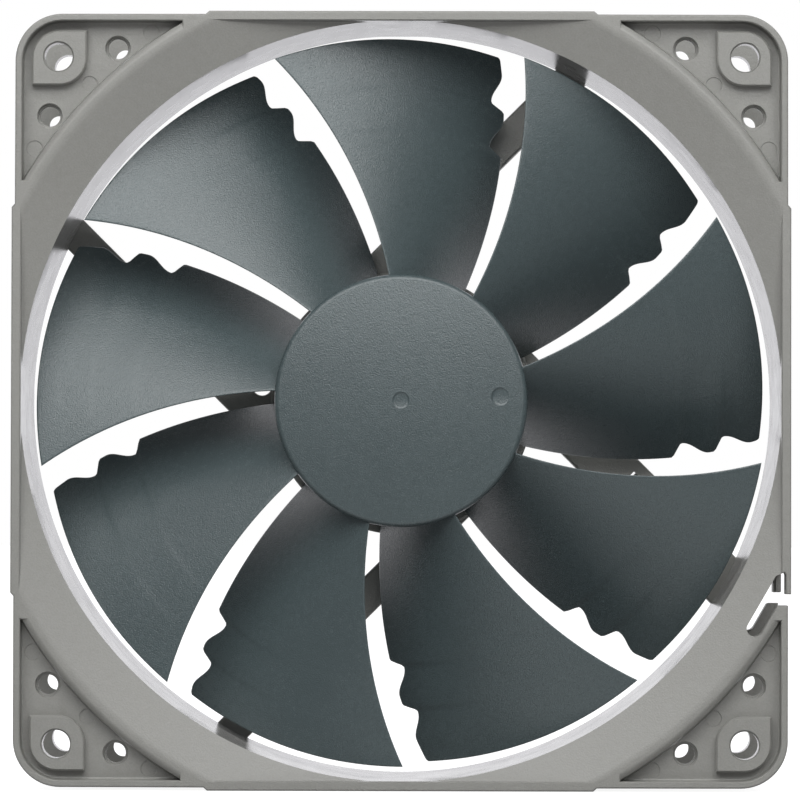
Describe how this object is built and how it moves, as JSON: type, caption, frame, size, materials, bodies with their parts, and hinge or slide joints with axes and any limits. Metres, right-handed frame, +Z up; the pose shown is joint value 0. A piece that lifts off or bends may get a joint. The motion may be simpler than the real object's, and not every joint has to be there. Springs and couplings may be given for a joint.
{
  "type": "case fan",
  "caption": "Square axial case fan with open corners, a slanted-strut motor mount and a swept-blade impeller whose trailing edges are notched.",
  "frame": {"origin": "centre of the lower edge face, halfway between intake and exhaust", "axes": "+Z up, the intake faces -Y, the exhaust faces +Y, +X to the right as seen from the intake; the rotor's axis is parallel to Y"},
  "size_m": [0.119, 0.025, 0.119],
  "materials": {
    "frame_plastic": "fine moulded texture, warm grey",
    "blade_plastic": "fine moulded texture, dark blue-grey",
    "steel": "drawn and turned steel",
    "lamination_steel": "stamped laminations",
    "ferrite": "bonded ferrite",
    "brass": "drawn brass",
    "bronze": "oil-soaked sintered bronze",
    "copper_wire": "enamelled copper wire",
    "nylon": "moulded nylon",
    "rubber": "moulded rubber",
    "board": "glass-fibre board with solder mask",
    "epoxy": "moulded epoxy package",
    "ceramic": "fired ceramic chip",
    "label": "blank printed-film label"
  },
  "bodies": {
    "stator": {"frame": "frame_plastic", "bearing_tube": "brass", "sleeve_bearing": "bronze", "oil_seal": "rubber", "thrust_pad": "nylon", "bearing_cap": "rubber", "stator_core": "lamination_steel", "upper_insulator": "nylon", "lower_insulator": "nylon", "coil_1": "copper_wire", "coil_2": "copper_wire", "coil_3": "copper_wire", "coil_4": "copper_wire", "winding_pin_1": "brass", "winding_pin_2": "brass", "winding_pin_3": "brass", "circuit_board": "board", "hall_sensor": "epoxy", "driver_chip": "epoxy", "capacitor": "ceramic", "resistor": "epoxy", "diode": "epoxy", "rear_label": "label"},
    "rotor": {"impeller": "blade_plastic", "rotor_yoke": "steel", "ring_magnet": "ferrite", "shaft_bushing": "brass", "oil_slinger": "nylon", "shaft": "steel", "retaining_clip": "nylon"}
  },
  "joints": [
    {"name": "rotor_spin", "type": "hinge", "parent": "stator", "child": "rotor", "pos_m": [0, 0, 0.0595], "axis": [0, -1, 0], "continuous": true}
  ]
}
